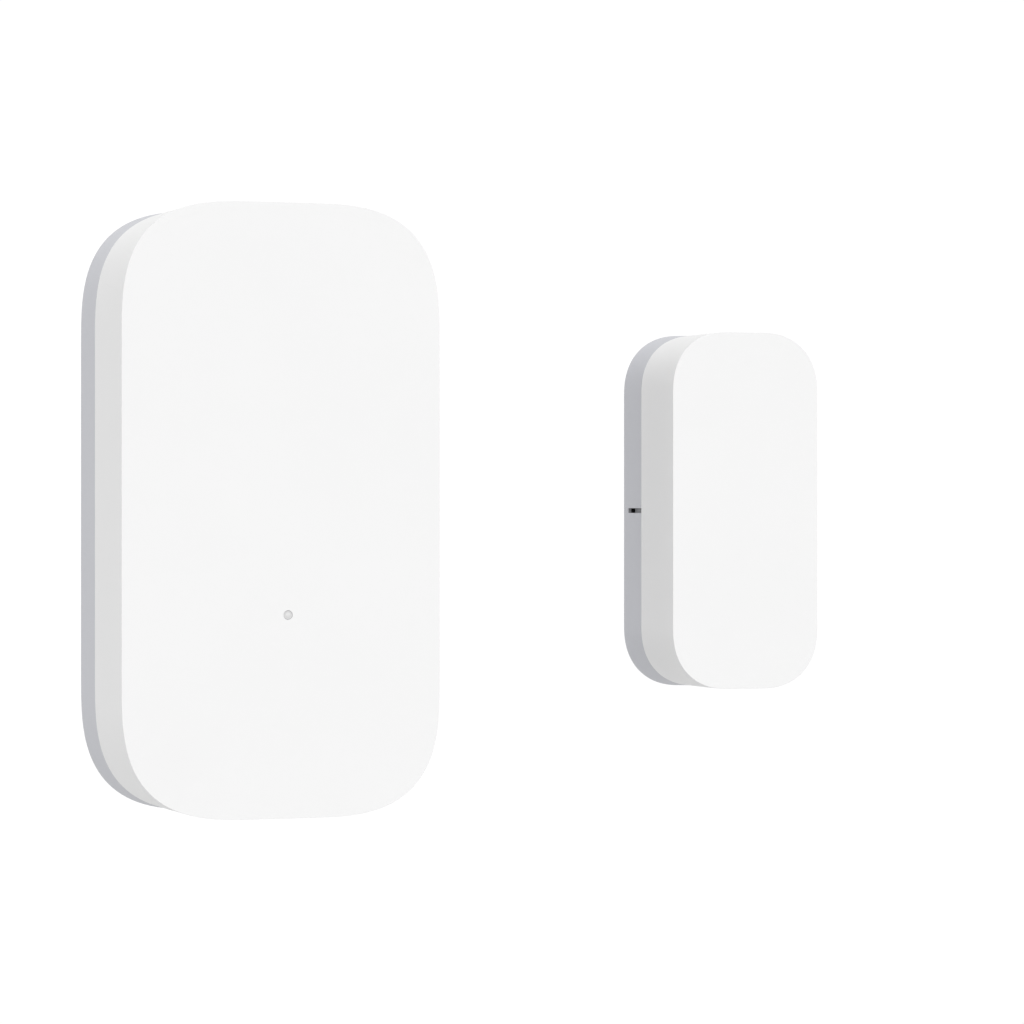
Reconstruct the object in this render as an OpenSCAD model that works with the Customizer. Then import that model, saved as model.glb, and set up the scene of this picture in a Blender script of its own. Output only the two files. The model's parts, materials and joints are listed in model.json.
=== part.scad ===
// Two-part wireless door contact sensor.
//
// The sensor unit is stuck to the door frame and the magnet unit to the door, side by side.
// Frame: X runs from the sensor unit to the magnet unit, Z is up, and Y points into the wall.
// The origin is the centre of the outer face of the sensor unit's adhesive pad, so the wall
// is the plane Y = 0 and both front faces look towards -Y. All sizes are in millimetres.

/* [Sensor unit] */
// Width of the front face
sensor_w = 22; // [21.5:0.5:24]
// Height of the front face
sensor_h = 41; // [41:0.5:46]
// Depth from the front face to the rear face of the back cover
sensor_d = 11; // [11:0.5:13]
// Depth of the white front cover, up to the seam
sensor_cover_d = 7.5; // [7.2:0.1:7.5]
// How far each corner's curve reaches along the sides
sensor_corner = 9; // [7.5:0.5:9.5]
// Squareness of the corner's curve, where 2 is a circle
sensor_squareness = 2.95; // [2.4:0.05:3.2]

/* [Magnet unit] */
// Width of the front face
magnet_w = 11; // [11:0.5:13]
// Height of the front face
magnet_h = 25; // [25:0.5:30]
// Depth from the front face to the rear face of the back cover
magnet_d = 9; // [9:0.5:11]
// Depth of the white front cover, up to the seam
magnet_cover_d = 6; // [6:0.1:6.5]
// How far each corner's curve reaches along the sides
magnet_corner = 4.2; // [3.6:0.1:4.8]
// Squareness of the corner's curve, where 2 is a circle
magnet_squareness = 2.27; // [2:0.01:2.8]
// Clear gap between the two units with the door shut
door_gap = 17.85; // [5:0.05:22]

/* [Shells] */
// Wall thickness of the covers
wall = 1.2; // [1.1:0.05:1.3]
// How far the back covers stand proud of the front covers, on each side
proud = 0.12; // [0.04:0.02:0.2]
// Thickness of the locating lip inside the seam
lip_t = 0.8; // [0.6:0.1:0.9]
// Clearance between the lip and the front cover
lip_gap = 0.1; // [0.08:0.02:0.14]
// How far the lip reaches past the seam into the front cover
lip_reach = 1.5; // [1:0.1:1.6]
// Thickness of the adhesive pads
pad_t = 0.6; // [0.5:0.05:0.8]
// Depth of the pocket that holds each pad
pad_pocket = 0.3; // [0.2:0.05:0.3]

/* [Front details] */
// Sideways place of the status light
light_x = 0.35; // [-2:0.05:2]
// Height of the status light above the middle
light_z = -6.96; // [-9:0.01:-5]
// Diameter of the status light's hole
light_hole_d = 0.62; // [0.5:0.02:1]
// Width of the alignment notches, one in each unit
notch_w = 0.34; // [0.3:0.02:0.6]
// Length of the alignment notches, measured back from the seam
notch_l = 2.2; // [1.5:0.1:2.2]
// Depth of the alignment notches
notch_d = 0.3; // [0.2:0.05:0.6]
// Depth of the pocket at each notch's far end
notch_pocket_d = 1; // [0.8:0.05:1]
// Length of the pocket at each notch's far end
notch_pocket_l = 0.32; // [0.3:0.02:0.8]

/* [Inner parts] */
// Diameter of the coin cell
cell_d = 16; // [16:0.5:16]
// Total thickness of the coin cell
cell_t = 3.2; // [3.2:0.1:3.2]
// Thickness of the circuit board
board_t = 0.8; // [0.6:0.1:0.8]
// Length of the reed switch's glass
reed_l = 12; // [11:0.5:13]
// Diameter of the reed switch's glass
reed_d = 1.8; // [1.8:0.1:2]
// Length of the bar magnet
bar_l = 18; // [14:1:18]

/* [Hidden] */

$fn = 48;
corner_steps = 14;       // flats along each corner's curve
fit_gap = 0.1;           // clearance round parts that slide or drop in
touch_gap = 0.01;        // clearance between parts that touch
seam_gap = 0.04;         // parting line between a front and a back cover
over = 1;                // how far a cutter runs past the face it cuts

// Levels along Y.
pad_proud = pad_t - pad_pocket;
back_y = -pad_proud;                                  // rear faces of both back covers
sensor_front_y = back_y - sensor_d;
sensor_seam_y = sensor_front_y + sensor_cover_d;
sensor_inner_y = sensor_front_y + wall;               // inner side of the front wall
sensor_floor_y = back_y - wall;                       // inner side of the back cover
magnet_front_y = back_y - magnet_d;
magnet_seam_y = magnet_front_y + magnet_cover_d;
magnet_inner_y = magnet_front_y + wall;
magnet_floor_y = back_y - wall;
magnet_x = sensor_w / 2 + door_gap + magnet_w / 2;    // middle of the magnet unit

// The locating lips stand inside the front covers' walls.
lip_outer = wall + lip_gap;
lip_inner = lip_outer + lip_t;
bead_h = lip_gap - 0.02;                              // snap bead, kept inside the gap
bead_w = 0.4;
snap_groove_d = 0.25;
sensor_bead_y = sensor_seam_y - 0.9;
magnet_bead_y = magnet_seam_y - 0.8;

// The board lies behind the front wall, with the coin cell on its rear side.
board_front_y = sensor_inner_y + 2.9;
board_back_y = board_front_y + board_t;
board_edge = wall + 0.4;                              // inset of the board's outline
post_x = sensor_w / 2 - 4;
post_z = sensor_h / 2 - 4.7;
post_d = 2.2;
stake_d = 0.9;
stake_hole_d = 1.0;
stake_h = 0.25;

// Coin cell, with its negative cap towards the board.
cell_z = -sensor_h / 2 + 11.5;
cell_front_y = board_back_y + 0.6;
cell_back_y = cell_front_y + cell_t;
cap_proud = 0.2;
cap_d = cell_d - 2.6;
can_t = 0.25;
gasket_t = 0.35;

// Battery contacts, bent from sheet.
clip_t = 0.25;
clip_w = 6;
clip_leg_w = 4;
clip_leg_x = cell_d / 2 + 0.2;
clip_foot_l = 0.75;
contact_t = 0.15;

// Reed switch, lying on the front side of the board beside the magnet.
reed_x = sensor_w / 2 - 3.4;
reed_y = board_front_y - reed_d / 2 - 0.2;
reed_bore_d = reed_d - 0.6;
reed_bore_l = reed_l - 3;
reed_lead_d = 0.45;
reed_lead_z = reed_l / 2 + 2.5;
blade_t = 0.15;
blade_w = 0.8;
blade_overlap = 1;

// Reset switch and its button, in the top end of the sensor unit.
top_z = sensor_h / 2;
button_y = board_front_y - 1.1;
button_w = 4.8;
button_h = 1.5;
button_sink = 0.05;
flange_w = 5.8;
flange_h = 2.0;
flange_t = 0.35;
flange_top_z = top_z - wall - 0.05;
switch_w = 4.5;
switch_l = 3;
switch_h = 1.9;
switch_top_z = top_z - 2.6;
plunger_w = 1.4;
plunger_h = 0.8;
plunger_tip_z = switch_top_z + 0.6;
plunger_l = 1.3;
shield_t = 0.12;
dome_t = 0.08;

// Bar magnet and its cradle.
bar_w = 5;
bar_t = 4;
bar_back_y = magnet_floor_y - 0.8;
bar_front_y = bar_back_y - bar_t;

WHITE = "white";
GREY = [0.76, 0.765, 0.78];
FOAM = [0.86, 0.87, 0.88];
MASK = [0.06, 0.30, 0.16];
STEEL = [0.72, 0.73, 0.75];
GOLD = [0.83, 0.66, 0.28];
BLACK = [0.07, 0.07, 0.08];

// ---------------------------------------------------------------- outlines

// A rectangle whose four corners are superellipse arcs of reach r and exponent n.
function soft_rectangle(w, h, r, n) = [
    for (q = [0 : 3])
        for (i = [0 : corner_steps])
            let (
                step = q % 2 == 0 ? i : corner_steps - i,
                a = 90 * step / corner_steps,
                sx = q == 0 || q == 3 ? 1 : -1,
                sz = q < 2 ? 1 : -1
            )
            [sx * (w / 2 - r + r * pow(cos(a), 2 / n)), sz * (h / 2 - r + r * pow(sin(a), 2 / n))]
];

module sensor_outline(inset = 0)
    polygon(soft_rectangle(sensor_w - 2 * inset, sensor_h - 2 * inset, sensor_corner - inset,
        sensor_squareness));

module magnet_outline(inset = 0)
    polygon(soft_rectangle(magnet_w - 2 * inset, magnet_h - 2 * inset, magnet_corner - inset,
        magnet_squareness));

// A slot shape with round ends.
module pill(w, h) {
    square([w - h, h], center = true);
    for (side = [-1, 1])
        translate([side * (w - h) / 2, 0]) circle(d = h);
}

// ---------------------------------------------------------------- placing

// Extrudes an outline drawn in X and Z from y0 back to y1.
module slab(y0, y1)
    translate([0, y1, 0]) rotate([90, 0, 0]) linear_extrude(y1 - y0) children();

// A round bar along Y.
module rod(x, z, d, y0, y1)
    translate([x, y1, z]) rotate([90, 0, 0]) cylinder(d = d, h = y1 - y0);

// A box from corner a to corner b.
module block(a, b)
    translate(a) cube(b - a);

// A surface-mount body centred at x, z on the rear side of the board.
module rear_chip(x, z, size)
    block([x - size[0] / 2, board_back_y, z - size[1] / 2],
        [x + size[0] / 2, board_back_y + size[2], z + size[1] / 2]);

// The cutter for an alignment notch in the wall at X = 0, running back from the seam and facing +X.
module notch(seam_y) {
    block([-notch_d, seam_y - over, -notch_w / 2], [over, seam_y + notch_l, notch_w / 2]);
    block([-notch_pocket_d, seam_y + notch_l - notch_pocket_l, -notch_w / 2],
        [over, seam_y + notch_l, notch_w / 2]);
}

// ---------------------------------------------------------------- sensor unit: shells

module sensor_front_cover() color(WHITE) difference() {
    union() {
        difference() {
            slab(sensor_front_y, sensor_seam_y - seam_gap) sensor_outline();
            slab(sensor_inner_y, sensor_seam_y + over) sensor_outline(wall);
        }
        // Posts that carry the board, each ending in a pin that is staked over it.
        for (x = [-post_x, post_x], z = [-post_z, post_z]) {
            rod(x, z, post_d, sensor_inner_y - 0.01, board_front_y);
            rod(x, z, stake_d, board_front_y - 0.01, board_back_y + stake_h);
            rod(x, z, 1.7 * stake_d, board_back_y, board_back_y + stake_h);
        }
        // Collar round the light pipe's flange.
        difference() {
            rod(light_x, light_z, 3, sensor_inner_y - 0.01, sensor_inner_y + 1.2);
            rod(light_x, light_z, 2 + 2 * touch_gap, sensor_inner_y, sensor_inner_y + over + 1.2);
        }
        // Two stiffening ribs across the front wall.
        for (z = [-13, 8])
            block([-6, sensor_inner_y - 0.01, z - 0.3], [6, sensor_inner_y + 0.6, z + 0.3]);
    }
    rod(light_x, light_z, light_hole_d, sensor_front_y - over, sensor_inner_y + 0.1);
    translate([0, button_y, top_z - wall - over])
        linear_extrude(wall + 2 * over) pill(button_w + 2 * fit_gap, button_h + 2 * fit_gap);
    // Grooves for the snap beads, in both long walls.
    for (side = [-1, 1])
        translate([side * (sensor_w / 2 - wall), sensor_bead_y, 0])
            cube([2 * snap_groove_d, bead_w + 0.3, 16], center = true);
}

module sensor_back_cover() color(GREY) difference() {
    union() {
        difference() {
            slab(sensor_seam_y, back_y) sensor_outline(-proud);
            slab(sensor_seam_y - over, sensor_floor_y) sensor_outline(wall);
        }
        // Locating lip.
        difference() {
            slab(sensor_seam_y - lip_reach, sensor_floor_y + 0.01) sensor_outline(lip_outer);
            slab(sensor_seam_y - lip_reach - over, sensor_floor_y) sensor_outline(lip_inner);
        }
        // Web that ties the lip to the wall below the seam.
        slab(sensor_seam_y + 0.3, sensor_floor_y + 0.01) difference() {
            sensor_outline(wall - 0.01);
            sensor_outline(lip_outer + 0.01);
        }
        // Snap beads.
        for (side = [-1, 1])
            translate([side * (sensor_w / 2 - lip_outer), sensor_bead_y, 0])
                cube([2 * bead_h, bead_w, 15], center = true);
        // Ribs that stiffen the floor.
        for (x = [-5, 0, 5])
            block([x - 0.3, sensor_floor_y - 0.35, -13], [x + 0.3, sensor_floor_y + 0.01, 13]);
        for (z = [-9, 0, 9])
            block([-7, sensor_floor_y - 0.35, z - 0.3], [7, sensor_floor_y + 0.01, z + 0.3]);
    }
    // Pocket for the adhesive pad.
    slab(back_y - pad_pocket, back_y + over) sensor_outline(2);
    // Alignment notch, facing the magnet unit.
    translate([sensor_w / 2, 0, 0]) notch(sensor_seam_y);
    // Coin slot in the bottom end, for prying the front cover off.
    block([-3, sensor_seam_y - over, -sensor_h / 2 - over],
        [3, sensor_seam_y + 0.9, -sensor_h / 2 + 0.9]);
}

module sensor_adhesive_pad() color(FOAM)
    slab(-pad_t, 0) sensor_outline(2.1);

// ---------------------------------------------------------------- sensor unit: light

module light_pipe() color([0.93, 0.94, 0.95, 0.8]) {
    rod(light_x, light_z, light_hole_d - 0.03, sensor_front_y + 0.03, sensor_inner_y + 0.1);
    rod(light_x, light_z, 2, sensor_inner_y, sensor_inner_y + 0.5);
    rod(light_x, light_z, 1.3, sensor_inner_y + 0.4, board_front_y - 0.8);
}

module status_led() color([0.95, 0.93, 0.8]) {
    block([light_x - 0.8, board_front_y - 0.25, light_z - 0.4],
        [light_x + 0.8, board_front_y, light_z + 0.4]);
    block([light_x - 0.5, board_front_y - 0.6, light_z - 0.4],
        [light_x + 0.5, board_front_y - 0.2, light_z + 0.4]);
}

// ---------------------------------------------------------------- sensor unit: board

module circuit_board() color(MASK) difference() {
    slab(board_front_y, board_back_y) sensor_outline(board_edge);
    for (x = [-post_x, post_x], z = [-post_z, post_z])
        rod(x, z, stake_hole_d, board_front_y - over, board_back_y + over);
    for (side = [-1, 1])
        rod(reed_x, side * reed_lead_z, reed_lead_d + 0.1, board_front_y - over, board_back_y + over);
}

// Meander antenna: uprights joined alternately at the top and at the bottom.
module antenna_trace() color(GOLD) slab(board_back_y, board_back_y + 0.05) {
    line_w = 0.4;
    pitch = 1;
    bars = 8;
    low = 14.6;
    high = 17.4;
    for (i = [0 : bars - 1]) translate([(i - (bars - 1) / 2) * pitch, 0]) {
        translate([-line_w / 2, low]) square([line_w, high - low]);
        if (i < bars - 1)
            translate([-line_w / 2, i % 2 == 0 ? high - line_w : low]) square([pitch + line_w, line_w]);
    }
    translate([-(bars - 1) / 2 * pitch - line_w / 2, 12.4]) square([line_w, low - 12.4 + line_w]);
}

module test_pads() color(GOLD)
    for (i = [0 : 4])
        rod(-6.2 + 1.7 * i, 0.9, 1.1, board_back_y, board_back_y + 0.04);

module radio_chip() color(BLACK) difference() {
    rear_chip(-2.4, 8.6, [5, 5, 0.85]);
    rod(-4.2, 10.4, 0.5, board_back_y + 0.75, board_back_y + over);
}

module crystal_oscillator() color(STEEL) {
    rear_chip(4.6, 9.4, [3.2, 2.5, 0.5]);
    rear_chip(4.6, 9.4, [2.8, 2.1, 0.75]);
}

// Small two-ended parts, each a body of the given height at its place in X and Z.
module chip_capacitors() color([0.66, 0.55, 0.42])
    for (p = [[-6.6, 5.4], [-6.6, 7.0], [-6.6, 8.6], [1.8, 5.0], [1.8, 12.6], [4.0, 12.6]])
        rear_chip(p[0], p[1], [1.6, 0.8, 0.8]);

module chip_resistors() color(BLACK)
    for (p = [[-6.6, 10.2], [-0.6, 4.2], [-3.0, 4.2], [2.2, 7.4], [5.6, 6.8]])
        rear_chip(p[0], p[1], [1.6, 0.8, 0.45]);

module bulk_capacitor() color([0.85, 0.62, 0.18])
    rear_chip(5.6, 3.9, [3.4, 2.7, 1.8]);

// ---------------------------------------------------------------- sensor unit: reed switch

// The glass is a tube with round ends, pierced for the two leads.
module reed_glass() color([0.75, 0.88, 0.82, 0.45]) translate([reed_x, reed_y, 0]) difference() {
    union() {
        cylinder(d = reed_d, h = reed_l - reed_d, center = true);
        for (side = [-1, 1])
            translate([0, 0, side * (reed_l - reed_d) / 2]) sphere(d = reed_d);
    }
    cylinder(d = reed_bore_d, h = reed_bore_l, center = true);
    cylinder(d = reed_lead_d + 2 * touch_gap, h = reed_l + over, center = true);
}

// Each lead leaves the glass, turns and goes through the board.
module reed_leads() color(STEEL) translate([reed_x, reed_y, 0]) for (side = [-1, 1]) {
    inner_z = reed_bore_l / 2 + touch_gap;
    mirror([0, 0, side < 0 ? 1 : 0]) {
        translate([0, 0, inner_z]) cylinder(d = reed_lead_d, h = reed_lead_z - inner_z);
        translate([0, 0, reed_lead_z]) sphere(d = reed_lead_d);
        translate([0, 0, reed_lead_z]) rotate([-90, 0, 0])
            cylinder(d = reed_lead_d, h = board_back_y - reed_y + 0.35);
    }
}

// The blades overlap at mid height; the fixed one comes down from the upper lead.
module reed_fixed_blade() color(STEEL)
    translate([reed_x - blade_t - touch_gap, reed_y - blade_w / 2, -blade_overlap / 2])
        cube([blade_t, blade_w, reed_bore_l / 2 + blade_overlap / 2]);

module reed_moving_blade() color(STEEL)
    translate([reed_x, reed_y - blade_w / 2, -reed_bore_l / 2])
        cube([blade_t, blade_w, reed_bore_l / 2 + blade_overlap / 2]);

// Solder cones round the leads, on the rear side of the board.
module solder_fillets() color(STEEL)
    for (side = [-1, 1])
        translate([reed_x, board_back_y, side * reed_lead_z]) rotate([-90, 0, 0]) difference() {
            cylinder(d1 = 1, d2 = 0.7, h = 0.3);
            translate([0, 0, -over])
                cylinder(d = reed_lead_d + 2 * touch_gap, h = 0.3 + 2 * over);
        }

// ---------------------------------------------------------------- sensor unit: battery

module coin_cell_can() color(STEEL) difference() {
    rod(0, cell_z, cell_d, cell_front_y + cap_proud, cell_back_y);
    rod(0, cell_z, cell_d - 2 * can_t, cell_front_y - over, cell_back_y - can_t);
}

module coin_cell_gasket() color([0.2, 0.22, 0.3]) difference() {
    rod(0, cell_z, cell_d - 2 * can_t - 2 * touch_gap, cell_front_y + cap_proud,
        cell_back_y - can_t - touch_gap);
    rod(0, cell_z, cap_d, cell_front_y - over, cell_back_y + over);
}

// The negative cap with the cell's stack behind it.
module coin_cell_cap() color(STEEL) {
    rod(0, cell_z, cap_d - 0.6, cell_front_y, cell_front_y + cap_proud);
    rod(0, cell_z, cap_d - 2 * touch_gap, cell_front_y + cap_proud, cell_back_y - can_t - touch_gap);
}

// A strap over the cell with a leg and a solder foot at each side, and a sprung tongue.
module battery_positive_clip() color(STEEL) {
    strap_y = cell_back_y + 0.05;
    difference() {
        block([-clip_leg_x - clip_t, strap_y, cell_z - clip_w / 2],
            [clip_leg_x + clip_t, strap_y + clip_t, cell_z + clip_w / 2]);
        for (side = [-1, 1])
            block([-3.2, strap_y - over, cell_z + side * 1.4 - 0.2],
                [3.2, strap_y + over, cell_z + side * 1.4 + 0.2]);
        block([2.8, strap_y - over, cell_z - 1.6], [3.2, strap_y + over, cell_z + 1.6]);
    }
    for (side = [-1, 1]) mirror([side < 0 ? 1 : 0, 0, 0]) {
        block([clip_leg_x, board_back_y, cell_z - clip_leg_w / 2],
            [clip_leg_x + clip_t, strap_y + clip_t, cell_z + clip_leg_w / 2]);
        block([clip_leg_x, board_back_y, cell_z - clip_leg_w / 2],
            [clip_leg_x + clip_t + clip_foot_l, board_back_y + clip_t, cell_z + clip_leg_w / 2]);
    }
}

// A soldered plate with two bent fingers that press on the cell's negative cap.
module battery_negative_contact() color(GOLD) {
    rise = cell_front_y - board_back_y;
    block([-2, board_back_y, cell_z - 1.6], [2, board_back_y + contact_t, cell_z + 1.6]);
    for (side = [-1, 1]) mirror([side < 0 ? 1 : 0, 0, 0])
        translate([0.5, board_back_y, cell_z]) rotate([90, 0, 90]) linear_extrude(1)
            polygon([
                [0, 1.4], [contact_t, 1.4], [rise - touch_gap, 3.6], [rise - touch_gap, 4.3],
                [rise - 0.3, 5], [rise - 0.3 - contact_t, 5], [rise - contact_t, 4.3],
                [rise - contact_t, 3.7]
            ]);
}

// ---------------------------------------------------------------- sensor unit: reset switch

module switch_body() color(BLACK) difference() {
    block([-switch_w / 2, board_front_y - switch_h, switch_top_z - switch_l],
        [switch_w / 2, board_front_y, switch_top_z]);
    block([-plunger_w / 2 - 0.05, button_y - plunger_h / 2 - 0.05, switch_top_z - 1.6],
        [plunger_w / 2 + 0.05, button_y + plunger_h / 2 + 0.05, switch_top_z + over]);
}

// A pressed cover with two side flanks.
module switch_shield() color(STEEL) {
    front_y = board_front_y - switch_h;
    block([-switch_w / 2 - shield_t, front_y - shield_t, switch_top_z - switch_l],
        [switch_w / 2 + shield_t, front_y, switch_top_z]);
    for (side = [-1, 1]) mirror([side < 0 ? 1 : 0, 0, 0])
        block([switch_w / 2, front_y - shield_t, switch_top_z - switch_l + 0.6],
            [switch_w / 2 + shield_t, board_front_y, switch_top_z - 0.6]);
}

// An arched leaf that returns the plunger.
module switch_dome() color(GOLD) {
    base_z = switch_top_z - 1.6;
    crown_z = plunger_tip_z - plunger_l - touch_gap;
    translate([0, button_y, 0]) rotate([90, 0, 0])
        linear_extrude(plunger_h - 0.2, center = true)
            polygon([
                [-0.7, base_z], [-0.2, crown_z], [0.2, crown_z], [0.7, base_z],
                [0.7 - 1.5 * dome_t, base_z], [0.15, crown_z - dome_t],
                [-0.15, crown_z - dome_t], [-0.7 + 1.5 * dome_t, base_z]
            ]);
}

module switch_plunger() color(BLACK)
    block([-plunger_w / 2, button_y - plunger_h / 2, plunger_tip_z - plunger_l],
        [plunger_w / 2, button_y + plunger_h / 2, plunger_tip_z]);

module reset_button() color(GREY) translate([0, button_y, 0]) {
    translate([0, 0, flange_top_z - 0.1])
        linear_extrude(top_z - button_sink - flange_top_z + 0.1) pill(button_w, button_h);
    translate([0, 0, flange_top_z - flange_t]) linear_extrude(flange_t) pill(flange_w, flange_h);
    block([-0.8, -0.5, plunger_tip_z + touch_gap], [0.8, 0.5, flange_top_z - flange_t + 0.1]);
}

// ---------------------------------------------------------------- magnet unit

module magnet_front_cover() color(WHITE) translate([magnet_x, 0, 0]) difference() {
    union() {
        difference() {
            slab(magnet_front_y, magnet_seam_y - seam_gap) magnet_outline();
            slab(magnet_inner_y, magnet_seam_y + over) magnet_outline(wall);
        }
        // Ribs that hold the bar down.
        for (z = [-5, 5])
            block([-3, magnet_inner_y - 0.01, z - 0.4], [3, bar_front_y - 0.05, z + 0.4]);
    }
    for (side = [-1, 1])
        translate([side * (magnet_w / 2 - wall), magnet_bead_y, 0])
            cube([2 * snap_groove_d, bead_w + 0.3, 9], center = true);
}

module magnet_back_cover() color(GREY) translate([magnet_x, 0, 0]) difference() {
    union() {
        difference() {
            slab(magnet_seam_y, back_y) magnet_outline(-proud);
            slab(magnet_seam_y - over, magnet_floor_y) magnet_outline(wall);
        }
        difference() {
            slab(magnet_seam_y - lip_reach + 0.2, magnet_floor_y + 0.01) magnet_outline(lip_outer);
            slab(magnet_seam_y - lip_reach - over, magnet_floor_y) magnet_outline(lip_inner);
        }
        slab(magnet_seam_y + 0.3, magnet_floor_y + 0.01) difference() {
            magnet_outline(wall - 0.01);
            magnet_outline(lip_outer + 0.01);
        }
        for (side = [-1, 1])
            translate([side * (magnet_w / 2 - lip_outer), magnet_bead_y, 0])
                cube([2 * bead_h, bead_w, 8], center = true);
        // Cradle: two saddles under the bar and a stop at each end.
        for (z = [-5.5, 5.5])
            block([-2.6, bar_back_y + touch_gap, z - 0.4], [2.6, magnet_floor_y + 0.01, z + 0.4]);
        for (side = [-1, 1]) mirror([0, 0, side < 0 ? 1 : 0])
            block([-1.8, bar_back_y - 1.4, bar_l / 2 + 0.05],
                [1.8, magnet_floor_y + 0.01, bar_l / 2 + 0.65]);
    }
    slab(back_y - pad_pocket, back_y + over) magnet_outline(1.5);
    // Alignment notch, facing the sensor unit.
    translate([-magnet_w / 2, 0, 0]) mirror([1, 0, 0]) notch(magnet_seam_y);
}

module magnet_adhesive_pad() color(FOAM) translate([magnet_x, 0, 0])
    slab(-pad_t, 0) magnet_outline(1.6);

module magnet_bar() color(STEEL)
    block([magnet_x - bar_w / 2, bar_front_y, -bar_l / 2], [magnet_x + bar_w / 2, bar_back_y, bar_l / 2]);

// ---------------------------------------------------------------- nodes

sensor_back_cover();
sensor_adhesive_pad();
sensor_front_cover();
light_pipe();
status_led();
circuit_board();
antenna_trace();
test_pads();
radio_chip();
crystal_oscillator();
chip_capacitors();
chip_resistors();
bulk_capacitor();
reed_glass();
reed_leads();
reed_fixed_blade();
reed_moving_blade();
solder_fillets();
battery_positive_clip();
battery_negative_contact();
coin_cell_can();
coin_cell_gasket();
coin_cell_cap();
switch_body();
switch_shield();
switch_dome();
switch_plunger();
reset_button();
magnet_back_cover();
magnet_adhesive_pad();
magnet_bar();
magnet_front_cover();
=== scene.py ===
"""Looks for the two-part wireless door contact sensor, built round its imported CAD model.

Lengths in this script are in millimetres, in the CAD model's frame: X from the sensor unit to the
magnet unit, Z up, and the wall at Y = 0 with both fronts facing -Y.
"""

import json
import math

import bmesh
import bpy
from mathutils import Euler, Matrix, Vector


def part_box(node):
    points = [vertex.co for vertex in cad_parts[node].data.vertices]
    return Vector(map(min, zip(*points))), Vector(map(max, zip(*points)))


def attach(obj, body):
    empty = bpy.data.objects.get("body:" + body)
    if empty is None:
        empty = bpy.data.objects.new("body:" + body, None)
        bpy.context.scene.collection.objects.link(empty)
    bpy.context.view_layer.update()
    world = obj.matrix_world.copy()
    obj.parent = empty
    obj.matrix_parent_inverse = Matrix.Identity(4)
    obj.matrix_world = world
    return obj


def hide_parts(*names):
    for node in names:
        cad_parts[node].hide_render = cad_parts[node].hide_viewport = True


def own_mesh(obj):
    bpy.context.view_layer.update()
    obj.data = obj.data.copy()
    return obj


MM = 0.001
CORNER_STEPS = 28  # faces along each corner of a shell

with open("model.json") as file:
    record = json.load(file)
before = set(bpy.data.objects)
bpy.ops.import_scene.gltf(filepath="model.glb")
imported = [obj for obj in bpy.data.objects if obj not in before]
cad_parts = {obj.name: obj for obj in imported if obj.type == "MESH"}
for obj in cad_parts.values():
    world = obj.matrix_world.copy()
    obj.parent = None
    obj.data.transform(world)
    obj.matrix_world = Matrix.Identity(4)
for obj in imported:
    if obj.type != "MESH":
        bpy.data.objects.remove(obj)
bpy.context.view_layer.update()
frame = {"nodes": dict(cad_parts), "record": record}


def cad_box(node):
    """Lowest and highest corner of a CAD node, in millimetres."""
    low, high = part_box(node)
    return low / MM, high / MM


# ------------------------------------------------------------------ colour


def linear(value):
    """A display value from 0 to 255 as a linear one."""
    v = value / 255
    return v / 12.92 if v <= 0.04045 else ((v + 0.055) / 1.055) ** 2.4


def srgb(red, green, blue):
    """A display colour, in parts of 255, as a linear one with full alpha."""
    return (linear(red), linear(green), linear(blue), 1.0)


MOTTLE_RANGE = (0.3, 0.7)  # noise values at which the first and the second colour are pure


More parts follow.
